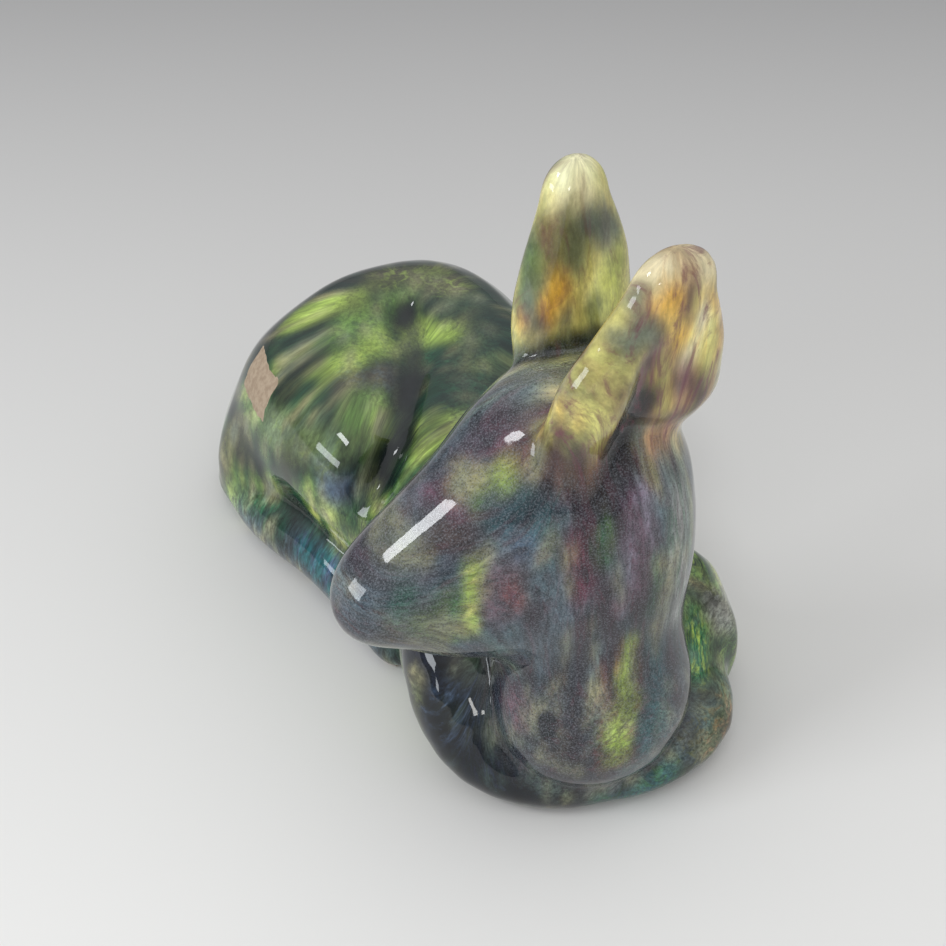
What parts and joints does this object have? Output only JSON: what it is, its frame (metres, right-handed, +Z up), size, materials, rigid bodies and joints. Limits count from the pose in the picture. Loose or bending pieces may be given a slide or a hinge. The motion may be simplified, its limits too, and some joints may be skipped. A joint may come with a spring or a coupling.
{
  "type": "animal figurine",
  "caption": "Glazed ceramic figurine of a fawn lying down with its head turned back and its ears up, hollow, with a flat unglazed foot.",
  "frame": {"origin": "on the ground, at the middle of the figurine's box", "axes": "+Z up; the fawn's chest faces -Y and its rump +Y; its left side is +X, and its head is turned towards -X"},
  "size_m": [0.0834, 0.133, 0.1138],
  "materials": {
    "olive_glaze": "glossy olive green glaze over earthenware",
    "slate_glaze": "glossy slate blue glaze over earthenware",
    "amber_glaze": "glossy amber and purple glaze over earthenware",
    "ink_glaze": "glossy dark blue-green glaze over earthenware"
  },
  "bodies": {
    "root": {"body": "olive_glaze", "head": "slate_glaze", "left_ear": "amber_glaze", "right_ear": "amber_glaze", "left_foreleg": "ink_glaze", "right_foreleg": "ink_glaze", "left_hind_leg": "ink_glaze", "right_hind_leg": "ink_glaze", "tail": "olive_glaze"}
  },
  "joints": []
}
